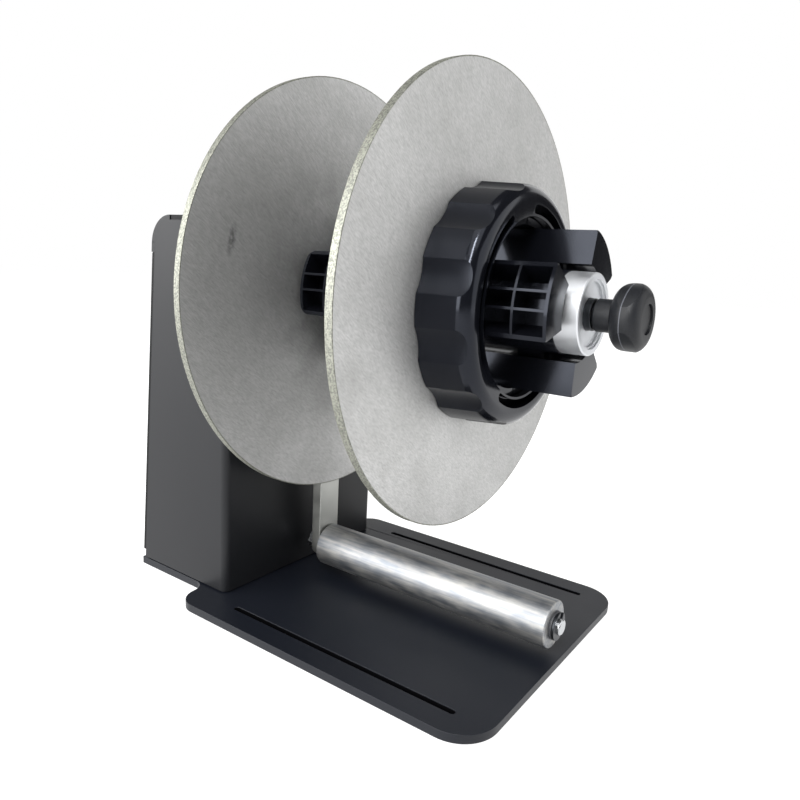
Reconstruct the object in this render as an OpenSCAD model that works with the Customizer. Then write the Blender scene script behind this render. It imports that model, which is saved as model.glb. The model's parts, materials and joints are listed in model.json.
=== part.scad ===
// Hand-turned label rewinder: a flanged reel with an expanding three-jaw core on a
// horizontal spindle, carried by a folded steel housing on a flat base plate, with a
// swinging guide roller under the reel. Millimetres, +Z up, front of the machine at -Y.

/* [Base plate] */
// Width of the wide front part of the base plate
base_w = 167.6; // [160:0.1:200]
// Thickness of the base plate
base_t = 4.3; // [3:0.1:6]
// Distance from the inner disc's front face to the plate's front edge
base_front = 146.4; // [143:0.1:170]
// Radius of the two front corners
corner_r = 19; // [8:0.5:25]
// Distance from the plate's front edge to its step
wide_len = 186.4; // [180:0.1:200]
// Radius of the convex corners at the step
step_outer_r = 12; // [6:0.5:14]
// Radius of the concave corners at the step
step_inner_r = 8; // [4:0.5:8]
// Spacing of the two long slots
slot_spacing = 140.4; // [130:0.1:145]
// End to end length of each long slot
slot_len = 137; // [80:1:150]
// Width of each long slot
slot_w = 3.2; // [2:0.1:5]
// Distance from the plate's front edge to the slots
slot_front = 17.6; // [14:0.1:30]
// Diameter of the rubber feet
foot_d = 18; // [12:0.5:20]
// Height of the rubber feet
foot_h = 2.5; // [2:0.1:5]

/* [Housing] */
// Outer width of the housing
house_w = 128; // [118:0.5:130]
// Height of the housing above the base plate
house_h = 203; // [198:0.5:230]
// Depth of the housing at its foot
house_depth = 75; // [72:0.5:90]
// Slope of the rear cover from the vertical, in degrees
rear_slope = 4.46; // [3:0.02:5]
// Thickness of the housing sheet
sheet_t = 2; // [1.5:0.1:2.5]
// Outer radius of the two front folds
fold_r = 4; // [3:0.5:10]
// Thickness of the rear cover's edge
cover_t = 2.6; // [2:0.1:3]
// Radius of the rear cover's upper fold
cover_r = 16; // [10:0.5:20]
// Gap between the inner disc and the housing front
disc_gap = 19.8; // [19.5:0.1:24]
// Width of the folded flanges inside the housing
flange_w = 12; // [10:0.5:15]
// Gap under the housing's side walls
foot_gap = 0.7; // [0.3:0.1:1.5]
// Height of the opening under the rear cover
cover_lift = 5.2; // [3:0.1:8]

/* [Spindle and bearings] */
// Height of the spindle axis above the underside of the base plate
axis_h = 170.9; // [165:0.1:180]
// Diameter of the spindle shaft
shaft_d = 15; // [15:0.1:15.6]
// Outer diameter of the two ball bearings
bearing_d = 35; // [35:0.1:36]
// Width of each ball bearing
bearing_w = 11; // [10:0.1:12]
// Diameter of the bearing balls
ball_d = 5.8; // [5:0.1:6]
// Number of balls in each bearing
ball_count = 8; // [6:1:8]
// Length of the spacer between the bearings
spacer_len = 20.5; // [16:0.5:21]
// Outer diameter of the bearing housing
barrel_d = 46; // [44:0.5:50]
// Diameter of the bearing housing's front flange
barrel_flange_d = 72; // [68:0.5:76]
// Thickness of the bearing housing's front flange
barrel_flange_t = 6; // [5:0.1:7]

/* [Discs] */
// Diameter of the two side discs
disc_d = 220; // [180:1:230]
// Thickness of the side discs
disc_t = 3.7; // [3:0.1:4]
// Clear width between the discs
roll_w = 84; // [70:0.5:88]

/* [Expanding core] */
// Diameter over the expanded jaws
core_d = 76; // [75:0.1:76.4]
// Length of the jaws
jaw_len = 136.1; // [132:0.1:137]
// Gap between the jaws and the inner disc
jaw_gap = 3.2; // [3:0.1:5]
// Half of each jaw's angle, in degrees
jaw_half = 25.4; // [22:0.1:27]
// Angle of the left jaw, seen from the front, in degrees
jaw_phase = 170.8; // [165:0.1:175]
// Radius of the jaws' inner face
jaw_in_r = 22.4; // [22.2:0.1:23]
// Thickness of each jaw's frame
jaw_wall = 2; // [1.5:0.1:2.5]
// Thickness of the ribs between the jaw's pockets
rib_t = 1.1; // [0.8:0.1:1.5]
// Angle between the ribs that run along the jaw, in degrees
rib_pitch = 12.1; // [10:0.1:14]
// Thickness of the floor under the jaw's pockets
pocket_floor = 2.8; // [2:0.1:4]
// Rows of pockets along each jaw
pocket_rows = 9; // [6:1:12]
// Radial travel of the jaws
jaw_travel = 3; // [1:0.1:3]
// Outer radius of the chuck's body
hub_r = 19; // [18.6:0.1:19]
// Bore radius of the chuck's body
hub_bore_r = 12; // [11.6:0.1:12.2]
// Diameter of the draw sleeve
sleeve_d = 14.4; // [13.5:0.1:14.6]
// Diameter of the jaw pins
jaw_pin_d = 3.5; // [3:0.1:3.6]
// Radius of the jaw pins' circle when expanded
jaw_pin_r = 14; // [13.8:0.1:14.1]
// Thickness of the sleeve's cam fins
fin_t = 5; // [4:0.1:5.4]

/* [End collar and knob] */
// Diameter of the aluminium end collar
collar_d = 37; // [36:0.1:37.5]
// Length of the end collar
collar_len = 11.8; // [10:0.1:13]
// Diameter of the clamping knob's head
knob_d = 30; // [26:0.5:36]
// Length of the knob's head
knob_head = 14; // [13:0.1:20]
// Length of the knob's neck
knob_neck = 8.6; // [5:0.1:9]
// Diameter of the draw screw
screw_d = 8; // [7:0.1:8]

/* [Lock ring] */
// Diameter of the lock ring at its rear
ring_d = 115; // [113:0.5:120]
// Length of the lock ring
ring_len = 25.8; // [25:0.1:30]
// Radius of the hole in the lock ring
ring_hole_r = 41.9; // [41.8:0.1:42.1]
// Number of grip recesses round the ring
recesses = 12; // [8:1:16]
// Depth of each grip recess
recess_depth = 1.8; // [1:0.1:2]
// Width of each grip recess
recess_w = 15.2; // [12:0.1:17]
// Angle of the ring's first arc slot, in degrees
ring_phase = 166; // [160:0.5:172]
// Length of each arc slot, in degrees
arc_slot = 94; // [60:1:100]

/* [Swing arm and guide roller] */
// Height of the arm's pivot above the underside of the base plate
pivot_h = 100; // [95:0.5:105]
// Distance from the arm's pivot to the roller's axis
arm_len = 80.3; // [70:0.1:81]
// Width of the arm
arm_w = 16; // [15:0.1:18]
// Thickness of the arm
arm_t = 6.4; // [5:0.1:6.6]
// Gap between the inner disc and the arm
arm_gap = 1.3; // [0.8:0.1:1.5]
// Swing of the arm to each side, in degrees
arm_swing = 40; // [20:1:40]
// Diameter of the guide roller
roller_d = 24.2; // [20:0.1:26]
// Length of the guide roller
roller_len = 145.6; // [130:0.1:146]
// Diameter of the roller's axle
axle_d = 8; // [7:0.1:8.4]
// Diameter of the arm's pivot shaft
pivot_d = 10; // [9:0.1:10.6]

/* [Hidden] */

$fn = 96;
cut = 1;                    // overrun of every cutting tool
fit = 0.05;                 // radial clearance of a running or seated round fit
seat = 0.3;                 // clearance between faces that move past each other
slide_gap = 0.15;           // clearance beside a sliding jaw cheek

// Stations along the spindle, measured forwards from the inner disc's front face
jaw_end = jaw_gap + jaw_len;
collar_lip = 2.4;           // depth of the collar's recessed face
collar_overhang = 5.5;      // the collar's reach past the jaws
collar_end = jaw_end + collar_overhang;
collar_start = collar_end - collar_len;
sleeve_proud = 3.2;         // the sleeve's reach past the collar's recessed face
sleeve_end = collar_end - collar_lip + sleeve_proud;
neck_start = sleeve_end + seat;
head_start = neck_start + knob_neck;
knob_end = head_start + knob_head;
flange_face = roll_w + disc_t;
house_face = disc_t + disc_gap;

// Places in the model's frame, whose origin is under the middle of its outline
rear_edge = house_face + house_depth;
datum_y = (knob_end - rear_edge) / 2;
plate_z = foot_h;
floor_z = plate_z + base_t;
axis_z = plate_z + axis_h;
pivot_z = plate_z + pivot_h;
roller_z = pivot_z - arm_len;
front_y = datum_y + house_face;
step_y = datum_y - base_front + wide_len;
top_z = floor_z + house_h;

jaw_angles = [jaw_phase, jaw_phase - 120, jaw_phase + 120];
core_r = core_d / 2;
shaft_r = shaft_d / 2;
sleeve_r = sleeve_d / 2;
screw_r = screw_d / 2;
axle_r = axle_d / 2;
pivot_r = pivot_d / 2;

// Puts parts that are drawn along +Z, forwards, round the spindle axis
module on_spindle() {
    translate([0, datum_y, axis_z]) rotate([90, 0, 0]) children();
}

// Puts parts that are drawn along +Z, forwards, round the arm's pivot axis
module on_pivot() {
    translate([0, datum_y, pivot_z]) rotate([90, 0, 0]) children();
}

// Puts parts that are drawn along +Z, forwards, round the roller's axis
module on_roller() {
    translate([0, datum_y, roller_z]) rotate([90, 0, 0]) children();
}

// A tube or a washer between two stations
module ring(r_out, r_in, from, to) {
    translate([0, 0, from]) difference() {
        cylinder(r = r_out, h = to - from);
        translate([0, 0, -cut]) cylinder(r = r_in, h = to - from + 2 * cut);
    }
}

// A rod between two stations
module rod(r, from, to) {
    translate([0, 0, from]) cylinder(r = r, h = to - from);
}

// A rod with a chamfer at both ends
module soft_rod(r, from, to, bevel) {
    rotate_extrude() polygon([[0, from], [r - bevel, from], [r, from + bevel],
        [r, to - bevel], [r - bevel, to], [0, to]]);
}

// Copies its children to each corner of a rectangle
module at_corners(dx, dy) {
    for (sx = [-1, 1], sy = [-1, 1]) translate([sx * dx / 2, sy * dy / 2, 0]) children();
}

// Copies its children round an axis
module around(count, radius, start = 0) {
    for (i = [0 : count - 1]) rotate(start + i * 360 / count) translate([radius, 0, 0]) children();
}

// A cap screw along +Z, its head's seat at z = 0 and its socket in the head
module cap_screw(d, len) {
    head_share = 0.85;
    socket_share = 0.46;
    rod(d / 2, -len, 0);
    difference() {
        soft_rod(head_share * d, 0, d, d * 0.08);
        rod_hex(socket_share * d, d / 2, d + cut);
    }
}

// A hexagonal prism between two stations, r across its corners
module rod_hex(r, from, to) {
    translate([0, 0, from]) cylinder(r = r, h = to - from, $fn = 6);
}

// A countersunk screw along +Z, its flush face at z = 0
module flat_screw(d, len) {
    socket_share = 0.36;
    difference() {
        rotate_extrude() polygon([[0, 0], [d, 0], [d / 2, -d / 2], [d / 2, -len], [0, -len]]);
        rod_hex(socket_share * d, -d * 0.3, cut);
    }
}

// The countersink and hole for a flat screw, with clearance
module flat_screw_hole(d, len) {
    rotate_extrude() polygon([[0, cut], [d + fit + cut, cut], [d + fit, 0],
        [d / 2 + fit, -d / 2], [d / 2 + fit, -len], [0, -len]]);
}

// Base plate
tongue_w = house_w;         // the tongue is flush with the housing's sides
base_screw_d = 5;
base_screw_x = house_w - 2 * sheet_t - flange_w;
base_screw_inset = 14;      // from the housing's front and rear to the screws
base_screw_span = house_depth - 2 * base_screw_inset;
base_screw_y = front_y + house_depth / 2;
foot_x = 104;               // spacing of the feet across the plate
foot_inset = 20;            // from the plate's front edge to the front feet
foot_front_y = datum_y - base_front + foot_inset;
foot_rear_y = base_screw_y;

module plate_outline() {
    wide = base_w / 2;
    neck = tongue_w / 2;
    edge = datum_y - base_front;
    rear = datum_y + rear_edge;
    hollow_r = min(step_inner_r, wide - neck - step_outer_r);
    difference() {
        union() {
            translate([-wide, edge + corner_r]) square([base_w, wide_len - corner_r - step_outer_r]);
            translate([corner_r - wide, edge]) square([base_w - 2 * corner_r, wide_len]);
            translate([step_outer_r - wide, edge + corner_r])
                square([base_w - 2 * step_outer_r, wide_len - corner_r]);
            for (s = [-1, 1]) {
                translate([s * (wide - corner_r), edge + corner_r]) circle(r = corner_r);
                translate([s * (wide - step_outer_r), step_y - step_outer_r]) circle(r = step_outer_r);
            }
            translate([-neck - hollow_r, step_y - cut])
                square([tongue_w + 2 * hollow_r, hollow_r + cut]);
            translate([-neck, step_y]) square([tongue_w, rear - step_y]);
        }
        for (s = [-1, 1]) translate([s * (neck + hollow_r), step_y + hollow_r])
            circle(r = hollow_r);
        for (s = [-1, 1]) translate([s * slot_spacing / 2, edge + slot_front + slot_len / 2])
            slot_outline();
    }
}

module slot_outline() {
    straight = slot_len - slot_w;
    square([slot_w, straight], center = true);
    for (s = [-1, 1]) translate([0, s * straight / 2]) circle(d = slot_w);
}

module base_plate() {
    color("#1d1e20") difference() {
        translate([0, 0, plate_z]) linear_extrude(base_t) plate_outline();
        translate([0, base_screw_y, plate_z]) at_corners(base_screw_x, base_screw_span)
            mirror([0, 0, 1]) flat_screw_hole(base_screw_d, base_t + cut);
    }
}

module rubber_feet() {
    bevel = foot_h * 0.3;
    color("#101010") for (s = [-1, 1], y = [foot_front_y, foot_rear_y])
        translate([s * foot_x / 2, y, 0]) rotate_extrude() polygon([[0, 0],
            [foot_d / 2 - bevel, 0], [foot_d / 2, bevel], [foot_d / 2, foot_h], [0, foot_h]]);
}

// Housing: the side profile is level on top, slopes at the rear and is drawn in Y and Z
slope_cos = cos(rear_slope);
slope_tan = tan(rear_slope);
rear_y = datum_y + rear_edge;

function rear_at(z, inset) = rear_y - (z - floor_z) * slope_tan - inset / slope_cos;

module side_profile(inset, low) {
    r = cover_r - inset;
    top = top_z - inset;
    centre_z = top - r;
    centre_y = rear_at(centre_z, inset) - r / slope_cos;
    touch = [centre_y + r * slope_cos, centre_z + r * sin(rear_slope)];
    polygon([[front_y, low], [rear_at(low, inset), low], touch, [centre_y, centre_z],
        [centre_y, top], [front_y, top]]);
    translate([centre_y, centre_z]) circle(r = r);
}

// The side walls' own round corner, which stands between the ends of the cover's fold
module corner_ear() {
    centre_z = top_z - cover_r;
    reach = cover_r + cut;
    translate([rear_at(centre_z, 0) - cover_r / slope_cos, centre_z]) intersection() {
        circle(r = cover_r);
        polygon([[0, 0], [0, reach], [reach, reach], [reach, reach * slope_tan]]);
    }
}

// Extrudes a profile drawn in Y and Z across the machine
module across(width) {
    rotate([90, 0, 90]) translate([0, 0, -width / 2]) linear_extrude(width) children();
}

module folded_plan(width, r, wall) {
    depth = house_depth + 2 * cut;
    translate([-width / 2 + r, front_y + wall]) square([width - 2 * r, depth]);
    translate([-width / 2, front_y + wall + r]) square([width, depth - r]);
    for (s = [-1, 1]) translate([s * (width / 2 - r), front_y + wall + r]) circle(r = r);
}

boss_r = 11;
boss_flange_r = 18;
boss_flange_t = 4;
barrel_hole_r = barrel_d / 2 + seat;
boss_hole_r = boss_r + seat;
barrel_bolt_r = (barrel_d + barrel_flange_d) / 4;
barrel_bolt_d = 5;
boss_bolt_r = (boss_r + boss_flange_r) / 2;
boss_bolt_d = 3;
boss_bolt_from = 30;        // keeps the boss's screws clear of the stop pins
cover_screw_d = 4;
cover_screw_x = house_w - 2 * sheet_t - flange_w;
cover_screw_shares = [0.16, 0.5, 0.8];
cover_screw_heights = cover_screw_shares * house_h;

module cover_screw_places() {
    for (s = [-1, 1], h = cover_screw_heights)
        translate([s * cover_screw_x / 2, rear_at(floor_z + h, 0), floor_z + h])
            rotate([-90 + rear_slope, 0, 0]) children();
}

module housing_shell() {
    low = floor_z + foot_gap;
    inner_w = house_w - 2 * sheet_t;
    color("#222327") difference() {
        union() {
            intersection() {
                difference() {
                    translate([0, 0, low]) linear_extrude(house_h) folded_plan(house_w, fold_r, 0);
                    translate([0, 0, low - cut]) linear_extrude(house_h + 2 * cut)
                        folded_plan(inner_w, fold_r - sheet_t, sheet_t);
                }
                across(house_w + 2 * cut) {
                    side_profile(cover_t, low);
                    corner_ear();
                }
            }
            // Folded flanges for the rear cover
            intersection() {
                across(inner_w + sheet_t) difference() {
                    side_profile(cover_t, low);
                    side_profile(cover_t + sheet_t, low - cut);
                }
                for (s = [-1, 1])
                    translate([s * (inner_w - flange_w) / 2, front_y + house_depth / 2, floor_z + house_h / 2])
                    cube([flange_w + sheet_t, house_depth - 2 * sheet_t, house_h], center = true);
            }
            // Folded flanges on the base plate
            for (s = [-1, 1]) translate([s * (inner_w - flange_w) / 2, 0, 0])
                foot_flange();
        }
        on_spindle() rod(barrel_hole_r, -house_face - sheet_t - cut, cut - house_face);
        on_spindle() around(4, barrel_bolt_r, 45)
            rod(barrel_bolt_d / 2 + fit, -house_face - sheet_t - cut, cut - house_face);
        on_pivot() rod(boss_hole_r, -house_face - sheet_t - cut, cut - house_face);
        on_pivot() around(3, boss_bolt_r, boss_bolt_from)
            rod(boss_bolt_d / 2 + fit, -house_face - sheet_t - cut, cut - house_face);
        translate([0, base_screw_y, low]) at_corners(base_screw_x, base_screw_span)
            rod(base_screw_d / 2 + fit, -cut, sheet_t + cut);
        cover_screw_places() rod(cover_screw_d / 2 + fit, -cover_t - sheet_t - cut, cut);
    }
}

module foot_flange() {
    low = floor_z + foot_gap;
    len = house_depth - 2 * base_screw_inset + 4 * base_screw_d;
    translate([-flange_w / 2 - sheet_t / 2, base_screw_y - len / 2, low])
        cube([flange_w + sheet_t, len, sheet_t]);
}

// The rear cover lies between the ears of the side walls
module rear_cover() {
    low = floor_z + cover_lift;
    color("#1b1c1e") difference() {
        across(house_w - 2 * (sheet_t + seat)) difference() {
            side_profile(0, low);
            side_profile(cover_t, low - cut);
        }
        cover_screw_places() rod(cover_screw_d / 2 + fit, -cover_t - sheet_t - cut, cut);
    }
}

module base_screws() {
    len = base_t + foot_gap + sheet_t + base_screw_d;
    color("#8b8d90") translate([0, base_screw_y, plate_z]) at_corners(base_screw_x, base_screw_span)
        mirror([0, 0, 1]) flat_screw(base_screw_d, len);
}

module base_nuts() {
    low = floor_z + foot_gap + sheet_t;
    color("#9a9c9f") translate([0, base_screw_y, low]) at_corners(base_screw_x, base_screw_span)
        difference() {
            rod_hex(base_screw_d * 0.9, 0, base_screw_d * 0.8);
            rod(base_screw_d / 2 + fit, -cut, base_screw_d);
        }
}

module cover_screws() {
    color("#2a2b2d") cover_screw_places() button_screw(cover_screw_d, cover_t + sheet_t + cover_screw_d);
}

// A button-head screw along +Z, its head's seat at z = 0
module button_screw(d, len) {
    head_share = 0.95;
    rod(d / 2, -len, 0);
    difference() {
        rotate_extrude() intersection() {
            translate([0, -d * 0.85]) circle(r = d * 1.4);
            square([head_share * d, d]);
        }
        rod_hex(d * 0.32, d * 0.2, d + cut);
    }
}

// Spindle bearings, measured forwards like the rest of the spindle
race_wall = 2.8;            // wall of the bearings' rings
clip_space = 3;             // from the front bearing to the flange's face
barrel_tail = 2;            // from the rear bearing to the barrel's end
circlip_t = 1.5;
circlip_grip = 1;           // depth of the circlip's groove
barrel_face = barrel_flange_t - house_face;
front_bearing = barrel_face - clip_space;
rear_bearing = front_bearing - bearing_w - spacer_len;
barrel_end = rear_bearing - bearing_w - barrel_tail;
bearing_r = bearing_d / 2;
race_in = shaft_r + race_wall;
race_out = bearing_r - race_wall;
ball_orbit = (race_in + race_out) / 2;
ball_r = ball_d / 2;
shoulder_r = race_out + 2 * seat;

module bearing_housing() {
    color("#85888b") on_spindle() difference() {
        union() {
            rod(barrel_d / 2, barrel_end, barrel_face - cut);
            rod(barrel_flange_d / 2, -house_face, barrel_face);
        }
        rod(shoulder_r, barrel_end - cut, barrel_face + cut);
        rod(bearing_r + fit, front_bearing - bearing_w, barrel_face + cut);
        rod(bearing_r + fit, barrel_end - cut, rear_bearing);
        ring(bearing_r + circlip_grip, bearing_r - cut, front_bearing, front_bearing + circlip_t + fit);
        around(4, barrel_bolt_r, 45) rod(barrel_bolt_d / 2 + fit, -house_face - cut, barrel_face + cut);
    }
}

module bearing_housing_screws() {
    color("#3b3c3e") on_spindle() around(4, barrel_bolt_r, 45)
        translate([0, 0, barrel_face]) cap_screw(barrel_bolt_d, barrel_flange_t + sheet_t + barrel_bolt_d);
}

// Both bearings' places, at their front faces
module at_bearings() {
    for (s = [front_bearing, rear_bearing]) translate([0, 0, s - bearing_w / 2]) children();
}

module ball_groove() {
    rotate_extrude() translate([ball_orbit, 0]) circle(r = ball_r + fit);
}

shield_t = 0.5;

module bearing_outer_rings() {
    half = bearing_w / 2;
    color("#b9bcc0") on_spindle() at_bearings() {
        difference() {
            ring(bearing_r, race_out, -half, half);
            ball_groove();
        }
        for (s = [-1, 1]) translate([0, 0, s * (half - 2 * shield_t)])
            ring(race_out + fit, race_in + seat, -shield_t / 2, shield_t / 2);
    }
}

module bearing_inner_rings() {
    half = bearing_w / 2;
    color("#b9bcc0") on_spindle() at_bearings() difference() {
        ring(race_in, shaft_r + fit / 2, -half, half);
        ball_groove();
    }
}

module bearing_balls() {
    color("#d5d7da") on_spindle() at_bearings() around(ball_count, ball_orbit) sphere(r = ball_r);
}

module bearing_cages() {
    wall = 3 * seat;
    half = ball_r + wall;
    color("#c9a24a") on_spindle() at_bearings() difference() {
        ring(ball_orbit + wall, ball_orbit - wall, -half, half);
        around(ball_count, ball_orbit) rotate([0, 90, 0]) rod(ball_r + 2 * fit, -ball_r, ball_r);
    }
}

module bearing_circlip() {
    gap = 4 * circlip_grip;
    color("#4a4b4d") on_spindle() difference() {
        ring(bearing_r + circlip_grip - fit, bearing_r - 2 * circlip_grip,
            front_bearing + fit / 2, front_bearing + circlip_t);
        translate([0, -gap / 2, front_bearing - cut]) cube([bearing_d, gap, circlip_t + 2 * cut]);
    }
}

module bearing_spacer() {
    color("#9da0a3") on_spindle()
        ring(race_in - seat, shaft_r + fit / 2, rear_bearing, front_bearing - bearing_w);
}

// Shaft, drag brake and the screws that hold the reel
shaft_flange_r = 25;
shaft_flange_t = 6;
nose_len = 16;
drag_gap = 0.1;
felt_margin = 1;            // from the drag plate's rim to the barrel's
felt_t = 3;
drag_t = 3;
wave_t = 2;
nut_t = 5;
drag_face = barrel_end - felt_t - drag_gap;
drag_back = drag_face - drag_t;
wave_back = drag_back - wave_t;
nut_back = wave_back - nut_t;
thread_r = 0.8 * shaft_r;
hub_screw_d = 4;
hub_screw_r = (hub_bore_r + hub_r) / 2 - seat;

module spindle_shaft() {
    bevel = shaft_r / 10;
    color("#a9acaf") on_spindle() difference() {
        union() {
            soft_rod(thread_r, nut_back - bevel, drag_back, bevel);
            rod(shaft_r, drag_back, front_bearing);
            rod(race_in - seat, front_bearing, -disc_t);
            rod(shaft_flange_r, -disc_t - shaft_flange_t, -disc_t);
            rod(hub_bore_r - fit, -disc_t - cut, nose_len);
        }
        rod(screw_r + fit, -2 * screw_d, nose_len + cut);
        around(3, hub_screw_r, jaw_phase + 60)
            rod(hub_screw_d / 2 + fit, -disc_t - shaft_flange_t - cut, -disc_t + cut);
    }
}

module felt_washer() {
    color("#d8d2c4") on_spindle()
        ring(barrel_d / 2 - 2 * felt_margin, shoulder_r, barrel_end - felt_t, barrel_end);
}

module drag_plate() {
    color("#8d9093") on_spindle() {
        ring(barrel_d / 2 - felt_margin, shaft_r + fit / 2, drag_back, drag_face);
        ring(race_in - seat, shaft_r + fit / 2, drag_face - fit, rear_bearing - bearing_w);
    }
}

module wave_washer() {
    waves = 3;
    steps = 24;
    ripple = 0.35;
    plate_t = 0.8;
    r_out = race_in + plate_t;
    r_in = thread_r + seat;
    mid = drag_back - wave_t / 2;
    function wave_z(i) = ripple * sin(waves * i * 360 / steps);
    rim = [for (i = [0 : steps - 1]) let (a = i * 360 / steps)
        each [for (r = [r_in, r_out], s = [-1, 1])
            [r * cos(a), r * sin(a), mid + wave_z(i) + s * plate_t / 2]]];
    function at(i, k) = 4 * (i % steps) + k;
    sides = [for (i = [0 : steps - 1]) each quads([at(i, 0), at(i, 1), at(i + 1, 1), at(i + 1, 0)])];
    outer = [for (i = [0 : steps - 1]) each quads([at(i, 3), at(i, 2), at(i + 1, 2), at(i + 1, 3)])];
    upper = [for (i = [0 : steps - 1]) each quads([at(i, 1), at(i, 3), at(i + 1, 3), at(i + 1, 1)])];
    lower = [for (i = [0 : steps - 1]) each quads([at(i, 2), at(i, 0), at(i + 1, 0), at(i + 1, 2)])];
    color("#7e8184") on_spindle() polyhedron(rim, concat(sides, outer, upper, lower));
}

// Splits a four-sided face into two triangles
function quads(q) = [[q[0], q[1], q[2]], [q[0], q[2], q[3]]];

module drag_nut() {
    color("#9a9c9f") on_spindle() difference() {
        rod_hex(1.55 * shaft_r, nut_back, wave_back);
        rod(thread_r + fit / 2, nut_back - cut, wave_back + cut);
    }
}

module hub_screws() {
    depth = shaft_flange_t + disc_t + 3 * hub_screw_d;
    color("#3b3c3e") on_spindle() around(3, hub_screw_r, jaw_phase + 60)
        translate([0, 0, -disc_t - shaft_flange_t]) mirror([0, 0, 1]) cap_screw(hub_screw_d, depth);
}

module inner_flange() {
    color("#b4b5b2") on_spindle() difference() {
        ring(disc_d / 2, hub_bore_r, -disc_t, 0);
        around(3, hub_screw_r, jaw_phase + 60) rod(hub_screw_d / 2 + fit, -disc_t - cut, cut);
    }
}

// Chuck: jaws on pins that run in sloping slots in the draw sleeve's fins
station_shares = [0.21, 0.825];
stations = station_shares * (jaw_len + jaw_gap);
cheek_t = 3.4;
cheek_len = 12;
fin_gap = 0.25;
cheek_out = fin_t / 2 + fin_gap + cheek_t;
pin_r = jaw_pin_d / 2;
pin_wall = 1.25;            // metal outside the pin in the fins
slot_wall = 2;              // metal before and behind the fins' slots
fin_top = jaw_pin_r + pin_r + pin_wall;
keyway_r = fin_top + seat;
hub_flange_r = 21;
hub_flange_t = jaw_gap - 2 * seat;

module chuck_body() {
    color("#15161a") on_spindle() difference() {
        union() {
            rod(hub_r, 0, collar_start);
            rod(hub_flange_r, 0, hub_flange_t);
        }
        rod(hub_bore_r, -cut, collar_start + cut);
        for (a = jaw_angles) rotate(a) {
            translate([0, 0, nose_len]) intersection() {
                translate([0, -fin_t / 2 - fin_gap, 0]) cube([keyway_r, fin_t + 2 * fin_gap, collar_start]);
                cylinder(r = keyway_r, h = collar_start);
            }
            for (s = stations) translate([0, -cheek_out - slide_gap, s - cheek_len / 2 - slide_gap])
                cube([hub_r + cut, 2 * (cheek_out + slide_gap), cheek_len + 2 * slide_gap]);
        }
        around(3, hub_screw_r, jaw_phase + 60) rod(hub_screw_d / 2 + fit, -cut, 3 * hub_screw_d + cut);
    }
}

// Outline of a pocket between two ribs: two angles and the half thickness beside each
function beside(r, a, t) = [r * cos(a) - t * sin(a), r * sin(a) + t * cos(a)];

module pocket(a, b, t_a, t_b) {
    floor_r = jaw_in_r + pocket_floor;
    rim_r = core_r + cut;
    polygon([beside(floor_r, a, t_a), beside(rim_r, a, t_a),
        beside(rim_r, b, -t_b), beside(floor_r, b, -t_b)]);
}

// Plan of the jaw seen from outside: long, with softened rear corners
module jaw_plan(half_w, rear_r, front_r) {
    len = jaw_len;
    translate([-half_w, rear_r]) square([2 * half_w, len - rear_r - front_r]);
    translate([rear_r - half_w, 0]) square([2 * (half_w - rear_r), len]);
    translate([front_r - half_w, rear_r]) square([2 * (half_w - front_r), len - rear_r]);
    for (s = [-1, 1]) {
        translate([s * (half_w - rear_r), rear_r]) circle(r = rear_r);
        translate([s * (half_w - front_r), len - front_r]) circle(r = front_r);
    }
}

module jaw() {
    half_w = core_r * sin(jaw_half);
    rear_r = 2 * jaw_wall;
    front_r = jaw_wall / 2;
    reach = core_r + cut;
    pitch = (jaw_len - jaw_wall * 1.5 + rib_t) / pocket_rows;
    first = jaw_wall * 0.75;
    cheek_low = jaw_pin_r - 1.5 * pin_r;
    rib_a = rib_pitch / 2;
    difference() {
        union() {
            translate([0, 0, jaw_gap]) intersection() {
                difference() {
                    cylinder(r = core_r, h = jaw_len);
                    translate([0, 0, -cut]) cylinder(r = jaw_in_r, h = jaw_len + 2 * cut);
                }
                linear_extrude(jaw_len)
                    polygon([[0, 0], [reach, -reach * tan(jaw_half)], [reach, reach * tan(jaw_half)]]);
                rotate([90, 0, 90]) linear_extrude(reach) jaw_plan(half_w, rear_r, front_r);
            }
            for (s = stations, side = [-1, 1])
                translate([cheek_low, side * (cheek_out - cheek_t / 2) - cheek_t / 2, s - cheek_len / 2])
                    cube([jaw_in_r + pocket_floor / 2 - cheek_low, cheek_t, cheek_len]);
        }
        for (i = [0 : pocket_rows - 1]) translate([0, 0, jaw_gap + first + i * pitch])
            linear_extrude(pitch - rib_t) {
                pocket(-jaw_half, -rib_a, jaw_wall, rib_t / 2);
                pocket(-rib_a, rib_a, rib_t / 2, rib_t / 2);
                pocket(rib_a, jaw_half, rib_t / 2, jaw_wall);
            }
        for (s = stations) translate([jaw_pin_r, 0, s]) rotate([90, 0, 0])
            translate([0, 0, -cheek_out - cut]) cylinder(r = pin_r + fit / 2, h = 2 * (cheek_out + cut));
    }
}

module jaw_pins() {
    for (s = stations) translate([jaw_pin_r, 0, s]) rotate([90, 0, 0])
        translate([0, 0, -cheek_out]) cylinder(r = pin_r, h = 2 * cheek_out);
}

module jaw_left() { color("#141519") on_spindle() rotate(jaw_angles[0]) jaw(); }
module jaw_upper() { color("#141519") on_spindle() rotate(jaw_angles[1]) jaw(); }
module jaw_lower() { color("#141519") on_spindle() rotate(jaw_angles[2]) jaw(); }
module jaw_pins_left() { color("#a9acaf") on_spindle() rotate(jaw_angles[0]) jaw_pins(); }
module jaw_pins_upper() { color("#a9acaf") on_spindle() rotate(jaw_angles[1]) jaw_pins(); }
module jaw_pins_lower() { color("#a9acaf") on_spindle() rotate(jaw_angles[2]) jaw_pins(); }

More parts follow.
